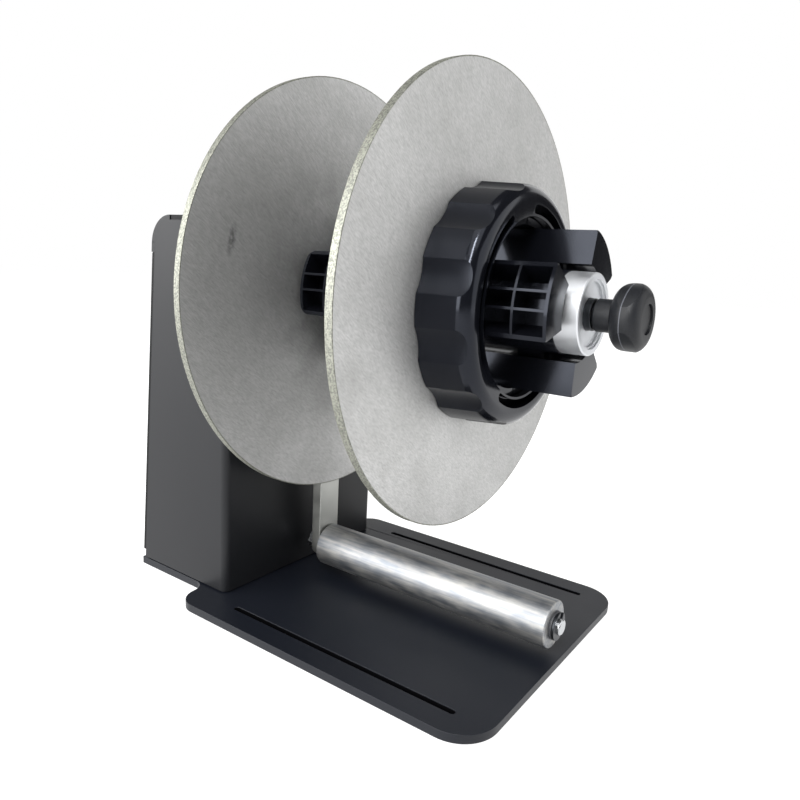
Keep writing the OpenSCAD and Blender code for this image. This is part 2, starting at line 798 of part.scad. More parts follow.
// A fin with its slot at 45 degrees, so that the jaws move in as far as the sleeve moves out
module fin() {
    slot_r = pin_r + fit;
    back = jaw_travel + slot_r + slot_wall;
    front = slot_r + slot_wall;
    difference() {
        translate([sleeve_r - cut, -fin_t / 2, -back]) cube([fin_top - sleeve_r + cut, fin_t, back + front]);
        rotate([90, 0, 0]) translate([0, 0, -fin_t / 2 - cut]) {
            translate([jaw_pin_r, 0, 0]) cylinder(r = slot_r, h = fin_t + 2 * cut);
            translate([jaw_pin_r - jaw_travel, -jaw_travel, 0]) cylinder(r = slot_r, h = fin_t + 2 * cut);
            translate([jaw_pin_r, 0, 0]) rotate(-135) translate([0, -slot_r, 0])
                cube([jaw_travel * sqrt(2), 2 * slot_r, fin_t + 2 * cut]);
        }
    }
}

screw_clip_t = 1;
clip_groove_r = 0.82 * screw_r;
sleeve_start = nose_len + 3 * screw_clip_t;
screw_clip_s = sleeve_start - seat - screw_clip_t;

module draw_sleeve() {
    color("#26282c") on_spindle() difference() {
        union() {
            soft_rod(sleeve_r, sleeve_start, sleeve_end, seat);
            for (a = jaw_angles, s = stations) rotate(a) translate([0, 0, s]) fin();
        }
        rod(screw_r + 2 * fit, sleeve_start - cut, sleeve_end + cut);
    }
}

module end_collar() {
    r = collar_d / 2;
    rim = 3;
    step = 1;
    bevel = 0.5;
    spigot = 6;
    face = collar_end - collar_lip;
    color("#c2c4c6") on_spindle() rotate_extrude() polygon([
        [sleeve_r + fit, collar_start - spigot], [hub_bore_r - fit, collar_start - spigot],
        [hub_bore_r - fit, collar_start], [r, collar_start], [r, collar_end - bevel],
        [r - bevel, collar_end], [r - rim, collar_end], [r - rim, collar_end - step],
        [r - rim - step, collar_end - step], [r - rim - step, face], [sleeve_r + fit, face]]);
}

module draw_screw() {
    color("#a9acaf") on_spindle() difference() {
        soft_rod(screw_r, 0, knob_end - knob_sink, screw_r / 8);
        ring(screw_r + cut, clip_groove_r, screw_clip_s - fit, screw_clip_s + screw_clip_t + fit);
    }
}

module screw_clip() {
    color("#4a4b4d") on_spindle() difference() {
        ring(1.6 * screw_r, clip_groove_r + fit, screw_clip_s, screw_clip_s + screw_clip_t);
        translate([0, -screw_r / 2, screw_clip_s - cut])
            cube([2 * screw_r, screw_r, screw_clip_t + 2 * cut]);
    }
}

// Knob: round head on a neck, with three flattened grips that fade out before its face
scoop_half = 39;            // half of each grip's angle
scoop_depth = 1.4;
scoop_angle = jaw_phase - 50;
cap_r = 6.7;
cap_sink = 0.9;
cap_t = 1.2;
knob_sink = 0.4 * knob_head; // from the knob's face to the end of its screw

// Outline of the three grips: flat arcs that cross the head's round at the grips' edges
module grip_outline(r) {
    mid = r - scoop_depth;
    offset = (r * r - mid * mid) / (2 * (mid - r * cos(scoop_half)));
    intersection() {
        rotate(scoop_angle) translate([-offset, 0]) circle(r = mid + offset);
        rotate(scoop_angle + 120) translate([-offset, 0]) circle(r = mid + offset);
        rotate(scoop_angle + 240) translate([-offset, 0]) circle(r = mid + offset);
    }
}

module clamp_knob() {
    r = knob_d / 2;
    neck_r = sleeve_r + 2 * fit;
    bevel = neck_r / 7;
    rear_round = 0.5 * knob_head;
    front_round = 0.42 * knob_head;
    color("#1e1f22") on_spindle() difference() {
        union() {
            soft_rod(neck_r, neck_start, head_start + rear_round, bevel);
            intersection() {
                rotate_extrude() knob_section(r, rear_round, front_round);
                translate([0, 0, head_start - cut]) linear_extrude(knob_head + 2 * cut) grip_outline(r);
            }
        }
        rod(cap_r, knob_end - cap_sink - cap_t, knob_end + cut);
        rod(screw_r + fit / 2, neck_start - cut, knob_end - knob_sink + fit);
    }
}

// Section of the knob's round head before its grips
module knob_section(r, rear_round, front_round) {
    intersection() {
        union() {
            translate([r - rear_round, head_start + rear_round]) circle(r = rear_round);
            translate([r - front_round, knob_end - front_round]) circle(r = front_round);
            translate([0, head_start]) square([r - rear_round, knob_head]);
            translate([0, head_start + rear_round]) square([r - front_round, knob_head - rear_round]);
            translate([r - rear_round, head_start + rear_round])
                square([rear_round, knob_head - rear_round - front_round]);
        }
        translate([0, head_start]) square([r + cut, knob_head]);
    }
}

module knob_cap() {
    color("#17181a") on_spindle()
        soft_rod(cap_r - fit, knob_end - cap_sink - cap_t, knob_end - cap_sink, seat);
}

// Outer disc, its collet hub and the lock ring that squeezes the collet on the jaws
collet_r = core_r + seat;
collet_wall = 3.2;
collet_len = 21;
boss_len = 11;
hub_plate_r = 53.2;
hub_plate_t = 3.5;
boss_thread_r = 47.4;
hub_face = flange_face + hub_plate_t;
boss_end = flange_face + boss_len;
collet_end = flange_face + collet_len;
ring_start = flange_face + seat;
ring_end = ring_start + ring_len;
collet_slits = 12;
collet_slit_w = 1.2;
flange_screw_d = 4;
flange_screw_r = 49.8;

module outer_flange() {
    color("#b4b5b2") on_spindle() difference() {
        ring(disc_d / 2, collet_r, roll_w, flange_face);
        around(6, flange_screw_r) translate([0, 0, roll_w]) mirror([0, 0, 1])
            flat_screw_hole(flange_screw_d, disc_t + cut);
    }
}

module collet_hub() {
    color("#15161a") on_spindle() difference() {
        union() {
            ring(hub_plate_r, collet_r, flange_face, hub_face);
            ring(boss_thread_r, collet_r, flange_face, boss_end);
            ring(collet_r + collet_wall, collet_r, flange_face, collet_end);
        }
        for (i = [0 : collet_slits - 1]) rotate(i * 360 / collet_slits)
            translate([collet_r - cut, -collet_slit_w / 2, boss_end + collet_slit_w])
                cube([collet_wall + 2 * cut, collet_slit_w, collet_end]);
        around(6, flange_screw_r) rod(flange_screw_d / 2 + fit, flange_face - cut, hub_face + cut);
    }
}

module flange_screws() {
    color("#8b8d90") on_spindle() around(6, flange_screw_r) translate([0, 0, roll_w])
        mirror([0, 0, 1]) flat_screw(flange_screw_d, disc_t + hub_plate_t);
}

ring_r = ring_d / 2;
ring_taper = 1.3;
ring_round = 7;
ring_wall = 2.5;            // least wall behind the grip recesses
lip_w = 1.1;
arc_slot_w = 4.2;
slot_in_r = ring_hole_r + lip_w;
skirt_r = boss_thread_r + fit;
skirt_out_r = skirt_r + ring_wall;
face_dish = 1;
web_t = 3;

// Section of the solid ring: tapered side, rounded front edge and a dished face
module ring_section() {
    nose_r = ring_r - ring_taper - ring_round;
    difference() {
        union() {
            polygon([[ring_hole_r, ring_start], [ring_r, ring_start],
                [ring_r - ring_taper, ring_end - ring_round], [nose_r, ring_end], [ring_hole_r, ring_end]]);
            translate([nose_r, ring_end - ring_round]) circle(r = ring_round);
        }
        polygon([[ring_hole_r - cut, ring_end - face_dish], [ring_hole_r, ring_end - face_dish],
            [nose_r, ring_end], [nose_r, ring_end + cut], [ring_hole_r - cut, ring_end + cut]]);
    }
}

// Section of the hollows behind the ring's face
module ring_hollows() {
    web = ring_end - face_dish - web_t;
    wall_r = hub_plate_r + seat;
    lip_r = slot_in_r + seat;
    translate([0, ring_start - cut]) square([wall_r, hub_face + seat - ring_start + cut]);
    translate([0, ring_start]) square([skirt_r, boss_end + 2 * seat - ring_start]);
    translate([skirt_out_r, ring_start]) square([wall_r - skirt_out_r, web - ring_start]);
    translate([lip_r, ring_start]) square([skirt_r - lip_r, web - ring_start]);
}

module lock_ring() {
    half = recess_w / 2;
    sink = recess_depth - ring_r + sqrt(ring_r * ring_r - half * half);
    tool_r = (half * half + sink * sink) / (2 * sink);
    taper_a = atan(ring_taper / (ring_len - ring_round));
    color("#101114") on_spindle() difference() {
        rotate_extrude() difference() {
            ring_section();
            ring_hollows();
        }
        around(recesses, ring_r - recess_depth + tool_r, ring_phase)
            translate([0, 0, ring_start]) rotate([0, -taper_a, 0]) rod(tool_r, -2 * cut, ring_len + 2 * cut);
        for (i = [0 : 2]) rotate(ring_phase + 120 * i) arc_slot_cutter();
    }
}

// Outline of one arc slot with round ends
module arc_slot_outline() {
    mid_r = slot_in_r + arc_slot_w / 2;
    end_a = (arc_slot - arc_slot_w / mid_r * 180 / PI) / 2;
    intersection() {
        difference() {
            circle(r = slot_in_r + arc_slot_w);
            circle(r = slot_in_r);
        }
        polygon([[0, 0], beside(ring_r, -end_a, 0), [2 * ring_r, 0], beside(ring_r, end_a, 0)]);
    }
    for (s = [-1, 1]) rotate(s * end_a) translate([mid_r, 0]) circle(d = arc_slot_w);
}

module arc_slot_cutter() {
    translate([0, 0, ring_end - face_dish - web_t - cut]) linear_extrude(ring_len) arc_slot_outline();
}

// Swing arm on its pivot, with the stations measured forwards from the inner disc's front face
arm_face = -disc_t - arm_gap;
arm_back = arm_face - arm_t;
bush_wall = 1.5;
bush_flange_t = 1;
bush_len = 10;
boss_tail = 16.5;           // the boss's reach behind the housing front
boss_face = arm_back - seat - bush_flange_t;
boss_end_s = -house_face - boss_tail;
bush_r = pivot_r + bush_wall;
lever_t = 6;
lever_r = 9;
lever_len = 24;
lever_w = 10;
lever_face = boss_end_s - bush_flange_t - seat;
lever_back = lever_face - lever_t;
axle_nut_t = 5;
axle_neck_r = 0.75 * axle_r;

module bar(len, w, from, to) {
    rod(w / 2, from, to);
    translate([-w / 2, -len, from]) cube([w, len, to - from]);
    translate([0, -len, 0]) rod(w / 2, from, to);
}

module swing_arm() {
    color("#9fa19d") on_pivot() difference() {
        bar(arm_len, arm_w, arm_back, arm_face);
        rod(pivot_r + fit / 2, arm_back - cut, arm_face + cut);
        translate([0, -arm_len, 0]) rod(axle_neck_r + fit / 2, arm_back - cut, arm_face + cut);
    }
}

module arm_pivot_boss() {
    color("#85888b") on_pivot() difference() {
        union() {
            rod(boss_r, boss_end_s, boss_face);
            rod(boss_flange_r, -house_face, boss_flange_t - house_face);
        }
        rod(bush_r + fit / 2, boss_end_s - cut, boss_face + cut);
        around(3, boss_bolt_r, boss_bolt_from) rod(boss_bolt_d / 2 + fit, -house_face - cut, boss_face);
    }
}

module arm_boss_screws() {
    color("#3b3c3e") on_pivot() around(3, boss_bolt_r, boss_bolt_from)
        translate([0, 0, boss_flange_t - house_face])
            cap_screw(boss_bolt_d, boss_flange_t + sheet_t + boss_bolt_d);
}

module arm_bushes() {
    flange_r = bush_r + 2 * bush_flange_t;
    color("#b58a4b") on_pivot() {
        ring(bush_r, pivot_r + fit, boss_face - bush_len, boss_face + fit);
        ring(flange_r, pivot_r + fit, boss_face, boss_face + bush_flange_t);
        ring(bush_r, pivot_r + fit, boss_end_s - fit, boss_end_s + bush_len);
        ring(flange_r, pivot_r + fit, boss_end_s - bush_flange_t, boss_end_s);
    }
}

arm_clip_t = 1;
arm_clip_s = lever_back - seat - arm_clip_t;
arm_groove_r = 0.8 * pivot_r;

module arm_shaft() {
    color("#a9acaf") on_pivot() difference() {
        soft_rod(pivot_r, arm_clip_s - 2 * arm_clip_t, arm_face, seat);
        ring(pivot_r + cut, arm_groove_r, arm_clip_s - fit, arm_clip_s + arm_clip_t + fit);
    }
}

module arm_lever() {
    color("#8d9093") on_pivot() difference() {
        union() {
            rod(lever_r, lever_back, lever_face);
            bar(lever_len, lever_w, lever_back, lever_face);
        }
        rod(pivot_r + fit / 2, lever_back - cut, lever_face + cut);
    }
}

module arm_circlip() {
    color("#4a4b4d") on_pivot() difference() {
        ring(1.5 * pivot_r, arm_groove_r + fit, arm_clip_s, arm_clip_s + arm_clip_t);
        translate([0, -pivot_r / 2, arm_clip_s - cut]) cube([2 * pivot_r, pivot_r, arm_clip_t + 2 * cut]);
    }
}

// Two pins behind the housing front stop the lever, and so the arm, at the end of its swing
stop_r = 2.5;
stop_orbit = 18;            // from the pivot to each stop pin
stop_angle = arm_swing + asin((lever_w / 2 + stop_r + seat) / stop_orbit);

module arm_stops() {
    color("#8d9093") on_pivot() for (s = [-1, 1])
        rotate(s * stop_angle - 90) translate([stop_orbit, 0, 0])
            rod(stop_r, lever_back, -house_face - sheet_t);
}

// Guide roller on a fixed axle
roller_bush_wall = 2.5;
roller_flange_r = 7.1;
roller_flange_t = 1.2;
roller_thrust_t = 0.5;      // flange of the roller's rear bush
roller_bush_len = 14;
roller_clip_t = 1.2;
axle_tip = 1.7;             // the axle's reach past its clip
roller_back = arm_face + seat + roller_thrust_t;
roller_face = roller_back + roller_len;
roller_bush_r = axle_r + roller_bush_wall;
clip_from = roller_face + roller_flange_t + seat;
axle_end = clip_from + roller_clip_t + axle_tip;
axle_groove_r = 0.82 * axle_r;

module guide_roller() {
    r = roller_d / 2;
    bevel = 0.5;
    color("#b7babd") on_roller() difference() {
        soft_rod(r, roller_back, roller_face, bevel);
        rod(roller_bush_r, roller_back - cut, roller_face + cut);
    }
}

module roller_bushes() {
    color("#3c3d3f") on_roller() {
        ring(roller_bush_r - fit / 2, axle_r + fit, roller_face - roller_bush_len, roller_face + fit);
        ring(roller_flange_r, axle_r + fit, roller_face, roller_face + roller_flange_t);
        ring(roller_bush_r - fit / 2, axle_r + fit, roller_back - fit, roller_back + roller_bush_len);
        ring(roller_flange_r, axle_r + fit, arm_face + seat, roller_back);
    }
}

module roller_axle() {
    bevel = axle_r / 8;
    color("#a9acaf") on_roller() difference() {
        union() {
            soft_rod(axle_r, arm_face, axle_end, bevel);
            soft_rod(axle_neck_r, arm_back - axle_nut_t - 2 * bevel, arm_face + cut, bevel);
        }
        ring(axle_r + cut, axle_groove_r, clip_from - fit, clip_from + roller_clip_t + fit);
    }
}

module axle_nut() {
    color("#9a9c9f") on_roller() difference() {
        rod_hex(1.9 * axle_neck_r, arm_back - axle_nut_t, arm_back);
        rod(axle_neck_r + fit / 2, arm_back - axle_nut_t - cut, arm_back + cut);
    }
}

module roller_clip() {
    color("#55575a") on_roller() difference() {
        ring(roller_flange_r - fit, axle_groove_r + fit, clip_from, clip_from + roller_clip_t);
        rotate(70) translate([0, -axle_r / 2, clip_from - cut])
            cube([2 * axle_r, axle_r, roller_clip_t + 2 * cut]);
    }
}

base_plate();
rubber_feet();
housing_shell();
rear_cover();
base_screws();
base_nuts();
cover_screws();
bearing_housing();
bearing_housing_screws();
bearing_outer_rings();
bearing_circlip();
felt_washer();
arm_pivot_boss();
arm_boss_screws();
arm_bushes();
arm_stops();
bearing_balls();
bearing_cages();
spindle_shaft();
bearing_inner_rings();
bearing_spacer();
drag_plate();
wave_washer();
drag_nut();
hub_screws();
inner_flange();
chuck_body();
end_collar();
draw_sleeve();
clamp_knob();
knob_cap();
draw_screw();
screw_clip();
jaw_left();
jaw_upper();
jaw_lower();
jaw_pins_left();
jaw_pins_upper();
jaw_pins_lower();
outer_flange();
collet_hub();
flange_screws();
lock_ring();
swing_arm();
arm_shaft();
arm_lever();
arm_circlip();
roller_axle();
axle_nut();
roller_clip();
guide_roller();
roller_bushes();
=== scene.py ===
import json
import math

import bmesh
import bpy
import numpy as np
from mathutils import Matrix, Vector

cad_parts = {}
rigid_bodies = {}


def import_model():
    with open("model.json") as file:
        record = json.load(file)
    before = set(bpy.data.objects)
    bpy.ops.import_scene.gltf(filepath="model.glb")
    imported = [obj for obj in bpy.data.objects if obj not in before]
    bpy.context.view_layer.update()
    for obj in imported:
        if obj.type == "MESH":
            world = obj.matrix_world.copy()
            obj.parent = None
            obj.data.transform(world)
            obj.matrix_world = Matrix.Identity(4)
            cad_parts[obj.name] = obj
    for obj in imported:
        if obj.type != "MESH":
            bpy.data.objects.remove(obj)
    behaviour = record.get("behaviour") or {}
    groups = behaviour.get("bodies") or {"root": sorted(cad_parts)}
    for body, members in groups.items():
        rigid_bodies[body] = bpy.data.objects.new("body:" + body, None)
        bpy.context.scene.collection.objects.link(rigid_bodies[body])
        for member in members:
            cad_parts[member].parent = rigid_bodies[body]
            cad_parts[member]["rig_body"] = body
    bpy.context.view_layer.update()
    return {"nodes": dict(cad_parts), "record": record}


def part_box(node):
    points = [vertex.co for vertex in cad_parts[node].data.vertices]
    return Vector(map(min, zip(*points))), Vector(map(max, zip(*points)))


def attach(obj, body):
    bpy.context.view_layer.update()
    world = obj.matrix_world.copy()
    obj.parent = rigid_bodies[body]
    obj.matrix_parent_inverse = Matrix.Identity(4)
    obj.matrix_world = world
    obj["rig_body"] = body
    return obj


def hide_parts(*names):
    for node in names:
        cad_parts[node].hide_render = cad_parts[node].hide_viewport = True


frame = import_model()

MM = 0.001
NODES = frame["nodes"]
SLOTS = {entry["node"]: entry["material_slot"] for entry in frame["record"]["subparts"]}
MOUNTS = {mount["name"]: Vector(mount["pos_m"]) for mount in frame["record"]["mounts"]}

# Places read from the frame, in metres
SHELL_LOW, SHELL_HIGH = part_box("housing_shell")
COVER_LOW, COVER_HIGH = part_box("rear_cover")
PLATE_LOW, PLATE_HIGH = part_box("base_plate")
COLLAR_LOW, COLLAR_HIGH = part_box("end_collar")
DISC_LOW, DISC_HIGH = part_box("inner_flange")
KNOB_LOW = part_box("clamp_knob")[0]
SPINDLE_Z = (COLLAR_LOW.z + COLLAR_HIGH.z) / 2
DISC_R = (DISC_HIGH.z - DISC_LOW.z) / 2
SLOT = MOUNTS["right_slot"]

# A mix node's sockets go by their numbers, because their names repeat
SHARE = 0
VALUE_A = 2
VALUE_B = 3
COLOUR_A = 6
COLOUR_B = 7
VALUE_MIX = {"data_type": "FLOAT"}
COLOUR_MIX = {"data_type": "RGBA", "out": 2}

# Nearly all values of a noise texture lie between these
NOISE = {"From Min": 0.3, "From Max": 0.7}


# Colours and shader nodes
def rgb(hex_code):
    """Linear colour of an sRGB hex value, each channel taken back through the sRGB curve."""
    channels = [int(hex_code[i:i + 2], 16) / 255 for i in (1, 3, 5)]
    linear = [c / 12.92 if c <= 0.04045 else ((c + 0.055) / 1.055) ** 2.4 for c in channels]
    return (*linear, 1.0)


def add(tree, kind, sockets=None, out=0, **settings):
    """Adds one shader node, sets it up, feeds its sockets and gives back one output.

    A socket goes by its name, or by its number where the node has several of that name.
    """
    made = tree.nodes.new("ShaderNode" + kind)
    for name, value in settings.items():
        setattr(made, name, value)
    for name, value in (sockets or {}).items():
        if isinstance(value, bpy.types.NodeSocket):
            tree.links.new(value, made.inputs[name])
        else:
            made.inputs[name].default_value = value
    return made.outputs[out] if made.outputs else made


def blank(name):
    """A new material, its empty tree and the place of each point in the object's coordinates."""
    material = bpy.data.materials.new(name)
    material.use_nodes = True
    tree = material.node_tree
    tree.nodes.clear()
    return material, tree, add(tree, "TexCoord", out="Object")


def grains(tree, place, size, detail, turn=(0, 0, 0), roughness=0.5):
    """A noise whose grains are as long as size along each axis, turned by the angles of turn."""
    at = add(tree, "Mapping", {"Vector": place, "Rotation": turn, "Scale": size},
             vector_type="TEXTURE")
    return add(tree, "TexNoise", {"Vector": at, "Scale": 1.0, "Detail": detail,
                                  "Roughness": roughness})


def round_spindle(tree, place):
    """Each point's place flattened to X and Z, and its distance from the spindle's axis."""
    flat = add(tree, "VectorMath", {0: place, 1: (1, 0, 1)}, operation="MULTIPLY")
    radius = add(tree, "VectorMath", {0: flat, 1: (0, 0, SPINDLE_Z)}, "Value", operation="DISTANCE")
    return flat, radius


def bare_metal(tree, tone, rough, skin):
    """Ends a tree with bare metal of this tone, roughness and relief."""
    metal = add(tree, "BsdfPrincipled", {"Base Color": tone, "Metallic": 1.0, "Roughness": rough,
                                         "Normal": skin})
    add(tree, "OutputMaterial", {"Surface": metal})


# Materials, each named for its real finish
def inside_slots(tree, place):
    """One inside the plate's two slots, where the shade is painted, and zero on the rest that shows.

    It is a block round each slot's middle, a little wider and longer than the slot, that starts
    just below the plate's top, so that only the slot's walls are seen inside it.
    """
    half_width = 4 * MM
    half_length = 72 * MM
    lip = 0.4 * MM
    mirrored = add(tree, "VectorMath", {0: place}, operation="ABSOLUTE")
    x = add(tree, "SeparateXYZ", {0: mirrored}, "X")
    y = add(tree, "SeparateXYZ", {0: place}, "Y")
    z = add(tree, "SeparateXYZ", {0: place}, "Z")
    across = add(tree, "Math", {0: x, 1: SLOT.x, 2: half_width}, operation="COMPARE")
    along = add(tree, "Math", {0: y, 1: SLOT.y, 2: half_length}, operation="COMPARE")
    deep = add(tree, "Math", {0: z, 1: PLATE_HIGH.z - lip}, operation="LESS_THAN")
    inside = add(tree, "Math", {0: across, 1: along}, operation="MULTIPLY")
    return add(tree, "Math", {0: inside, 1: deep}, operation="MULTIPLY")


def powder_coat(name, colour, shine, slots=False):
    """Polyester powder baked on sheet steel: a satin black skin with a faint orange peel.

    With slots, the walls inside the plate's two slots get a matt black, a painted shade.
    """
    peel_width = 1.1 * MM
    peel_height = 0.015 * MM
    cloud_width = 60 * MM
    material, tree, place = blank(name)
    peel = add(tree, "TexNoise", {"Vector": place, "Scale": 1 / peel_width, "Detail": 1.0})
    cloud = add(tree, "TexNoise", {"Vector": place, "Scale": 1 / cloud_width, "Detail": 3.0})
    rough = add(tree, "MapRange", {"Value": cloud, **NOISE, "To Min": 0.40, "To Max": 0.47})
    skin = add(tree, "Bump", {"Height": peel, "Strength": 0.3, "Distance": peel_height})
    coat = add(tree, "BsdfPrincipled", {"Base Color": rgb(colour), "Roughness": rough,
                                        "Specular IOR Level": shine, "Normal": skin})
    if slots:
        # Painted shade: a matt black diffuse stands in for the coat on the slot walls
        painted_slot_shade = add(tree, "BsdfDiffuse", {"Color": rgb("#060607")})
        coat = add(tree, "MixShader", {0: inside_slots(tree, place), 1: coat, 2: painted_slot_shade})
    add(tree, "OutputMaterial", {"Surface": coat})
    return material


def painted_core_shade(tree, radius, cloud):
    """Share of the painted shade round the core: a dark cloud that fades outwards and is patchy."""
    near = add(tree, "MapRange", {"Value": radius, "From Min": 34 * MM, "From Max": 75 * MM,
                                  "To Min": 1.0, "To Max": 0.0})
    patchy = add(tree, "MapRange", {"Value": cloud, "From Min": 0.35, "From Max": 0.6})
    share = add(tree, "Math", {0: near, 1: patchy}, operation="MULTIPLY")
    return add(tree, "Math", {0: share, 1: 0.4}, operation="MULTIPLY")


def thumb_mark(tree, place, flat):
    """Share of one dark thumb mark: a leaning oval with worn edges, on the disc's front face."""
    centre = (-80.5 * MM, 0, SPINDLE_Z + 24.6 * MM)
    lean = (0, math.radians(14), 0)
    half_size = (2.8 * MM, 1, 9 * MM)
    speck_width = 3 * MM
    skin_depth = 0.5 * MM
    at = add(tree, "Mapping", {"Vector": flat, "Location": centre, "Rotation": lean,
                               "Scale": half_size}, vector_type="TEXTURE")
    reach = add(tree, "VectorMath", {0: at}, "Value", operation="LENGTH")
    oval = add(tree, "MapRange", {"Value": reach, "From Min": 0.2, "From Max": 1.0,
                                  "To Min": 0.8, "To Max": 0.0})
    specks = add(tree, "TexNoise", {"Vector": place, "Scale": 1 / speck_width, "Detail": 3.0})
    worn = add(tree, "MapRange", {"Value": specks, "From Min": 0.36, "From Max": 0.56})
    y = add(tree, "SeparateXYZ", {0: place}, "Y")
    front = add(tree, "Math", {0: y, 1: DISC_LOW.y + skin_depth}, operation="LESS_THAN")
    share = add(tree, "Math", {0: oval, 1: worn}, operation="MULTIPLY")
    return add(tree, "Math", {0: share, 1: front}, operation="MULTIPLY")


def sawn_rim(tree, place, radius, tone):
    """The sheet's tone with a speckled, yellower band laid over it on the disc's sawn rim."""
    band_start = DISC_R - 0.7 * MM
    band_full = DISC_R - 0.45 * MM
    speckle_width = 0.9 * MM
    rim = add(tree, "MapRange", {"Value": radius, "From Min": band_start, "From Max": band_full})
    saw = add(tree, "TexNoise", {"Vector": place, "Scale": 1 / speckle_width, "Detail": 2.0,
                                 "Roughness": 0.8})
    speckle = add(tree, "MapRange", {"Value": saw, "From Min": 0.42, "From Max": 0.6})
    sawn = add(tree, "Mix", {SHARE: speckle, COLOUR_A: rgb("#98998f"), COLOUR_B: rgb("#70716b")},
               **COLOUR_MIX)
    return add(tree, "Mix", {SHARE: rim, COLOUR_A: tone, COLOUR_B: sawn}, **COLOUR_MIX)


def mill_sheet(name, core_shade_and_mark):
    """Mill-finish aluminium sheet, sanded on a slant, with a sawn rim.

    The sanding reads as a short grain, drawn coarser than it is so that it shows.
    A sheet so marked has a painted shade round the core, a patchy dark cloud, and one dark thumb mark.
    """
    slant = (0, math.radians(-52), 0)
    scratch_size = (0.4 * MM, 0.4 * MM, 2.2 * MM)
    stroke_size = (1.6 * MM, 1.6 * MM, 6 * MM)
    cloud_width = 34 * MM
    scratch_depth = 0.016 * MM
    material, tree, place = blank(name)
    scratches = grains(tree, place, scratch_size, 3.0, slant, 0.6)
    strokes = grains(tree, place, stroke_size, 2.0, slant)
    grain = add(tree, "Mix", {SHARE: 0.2, VALUE_A: scratches, VALUE_B: strokes}, **VALUE_MIX)
    cloud = add(tree, "TexNoise", {"Vector": place, "Scale": 1 / cloud_width, "Detail": 5.0,
                                   "Roughness": 0.6})

    sanded = add(tree, "MapRange", {"Value": grain, "From Min": 0.32, "From Max": 0.68})
    tone = add(tree, "Mix", {SHARE: sanded, COLOUR_A: rgb("#ababaa"), COLOUR_B: rgb("#cacac9")},
               **COLOUR_MIX)
    dull = add(tree, "MapRange", {"Value": cloud, "From Min": 0.42, "From Max": 0.75, "To Max": 0.35})
    tone = add(tree, "Mix", {SHARE: dull, COLOUR_A: tone, COLOUR_B: rgb("#999996")}, **COLOUR_MIX)
    flat, radius = round_spindle(tree, place)
    if core_shade_and_mark:
        # Painted shade: a dark cloud round the core, darker towards it
        core_shade = painted_core_shade(tree, radius, cloud)
        tone = add(tree, "Mix", {SHARE: core_shade, COLOUR_A: tone, COLOUR_B: rgb("#6c6d6c")}, **COLOUR_MIX)
        mark = thumb_mark(tree, place, flat)
        tone = add(tree, "Mix", {SHARE: mark, COLOUR_A: tone, COLOUR_B: rgb("#5f605f")}, **COLOUR_MIX)
    tone = sawn_rim(tree, place, radius, tone)

    rough = add(tree, "MapRange", {"Value": cloud, **NOISE, "To Min": 0.54, "To Max": 0.64})
    skin = add(tree, "Bump", {"Height": grain, "Strength": 0.6, "Distance": scratch_depth})
    bare_metal(tree, tone, rough, skin)
    return material


def turned_aluminium():
    """Aluminium turned on a lathe: bright, with fine rings round the spindle.

    The rings are a sine of the radius plus the place along the axis, so that faces and sides
    both have them. They are drawn coarser than the tool's feed so that they show.
    """
    ring_pitch = 0.4 * MM
    ring_depth = 0.004 * MM
    cloud_width = 6 * MM
    material, tree, place = blank("turned aluminium")
    _, radius = round_spindle(tree, place)
    along = add(tree, "SeparateXYZ", {0: place}, "Y")
    path = add(tree, "Math", {0: radius, 1: along}, operation="ADD")
    phase = add(tree, "Math", {0: path, 1: math.tau / ring_pitch}, operation="MULTIPLY")
    rings = add(tree, "Math", {0: phase}, operation="SINE")
    cloud = add(tree, "TexNoise", {"Vector": place, "Scale": 1 / cloud_width, "Detail": 3.0})
    rough = add(tree, "MapRange", {"Value": cloud, **NOISE, "To Min": 0.42, "To Max": 0.54})
    skin = add(tree, "Bump", {"Height": rings, "Strength": 0.35, "Distance": ring_depth})
    bare_metal(tree, rgb("#d2d4d7"), rough, skin)
    return material


def drawn_tube():
    """Drawn aluminium tube: soft streaks along it from the die, and dull patches from use."""
    streak_size = (1.6 * MM, 26 * MM, 1.6 * MM)
    patch_size = (4 * MM, 11 * MM, 4 * MM)
    streak_depth = 0.006 * MM
    material, tree, place = blank("drawn aluminium tube")
    streaks = grains(tree, place, streak_size, 3.0)
    patches = grains(tree, place, patch_size, 4.0)
    worn = add(tree, "Mix", {SHARE: 0.45, VALUE_A: streaks, VALUE_B: patches}, **VALUE_MIX)
    share = add(tree, "MapRange", {"Value": worn, "From Min": 0.38, "From Max": 0.62})
    tone = add(tree, "Mix", {SHARE: share, COLOUR_A: rgb("#7b7f85"), COLOUR_B: rgb("#a5a4a1")},
               **COLOUR_MIX)
    rough = add(tree, "MapRange", {"Value": patches, "From Min": 0.35, "From Max": 0.65,
                                   "To Min": 0.46, "To Max": 0.54})
    skin = add(tree, "Bump", {"Height": streaks, "Strength": 0.2, "Distance": streak_depth})
    bare_metal(tree, tone, rough, skin)
    return material


def satin_bar():
    """Flat steel bar with a satin plated skin: a fine grain along its length."""
    grain_size = (0.7 * MM, 0.7 * MM, 12 * MM)
    grain_depth = 0.006 * MM
    cloud_width = 12 * MM
    material, tree, place = blank("satin plated steel bar")
    grain = grains(tree, place, grain_size, 2.0)
    cloud = add(tree, "TexNoise", {"Vector": place, "Scale": 1 / cloud_width, "Detail": 3.0})
    rough = add(tree, "MapRange", {"Value": cloud, **NOISE, "To Min": 0.36, "To Max": 0.5})
    skin = add(tree, "Bump", {"Height": grain, "Strength": 0.35, "Distance": grain_depth})
    bare_metal(tree, rgb("#b0b1ad"), rough, skin)
    return material


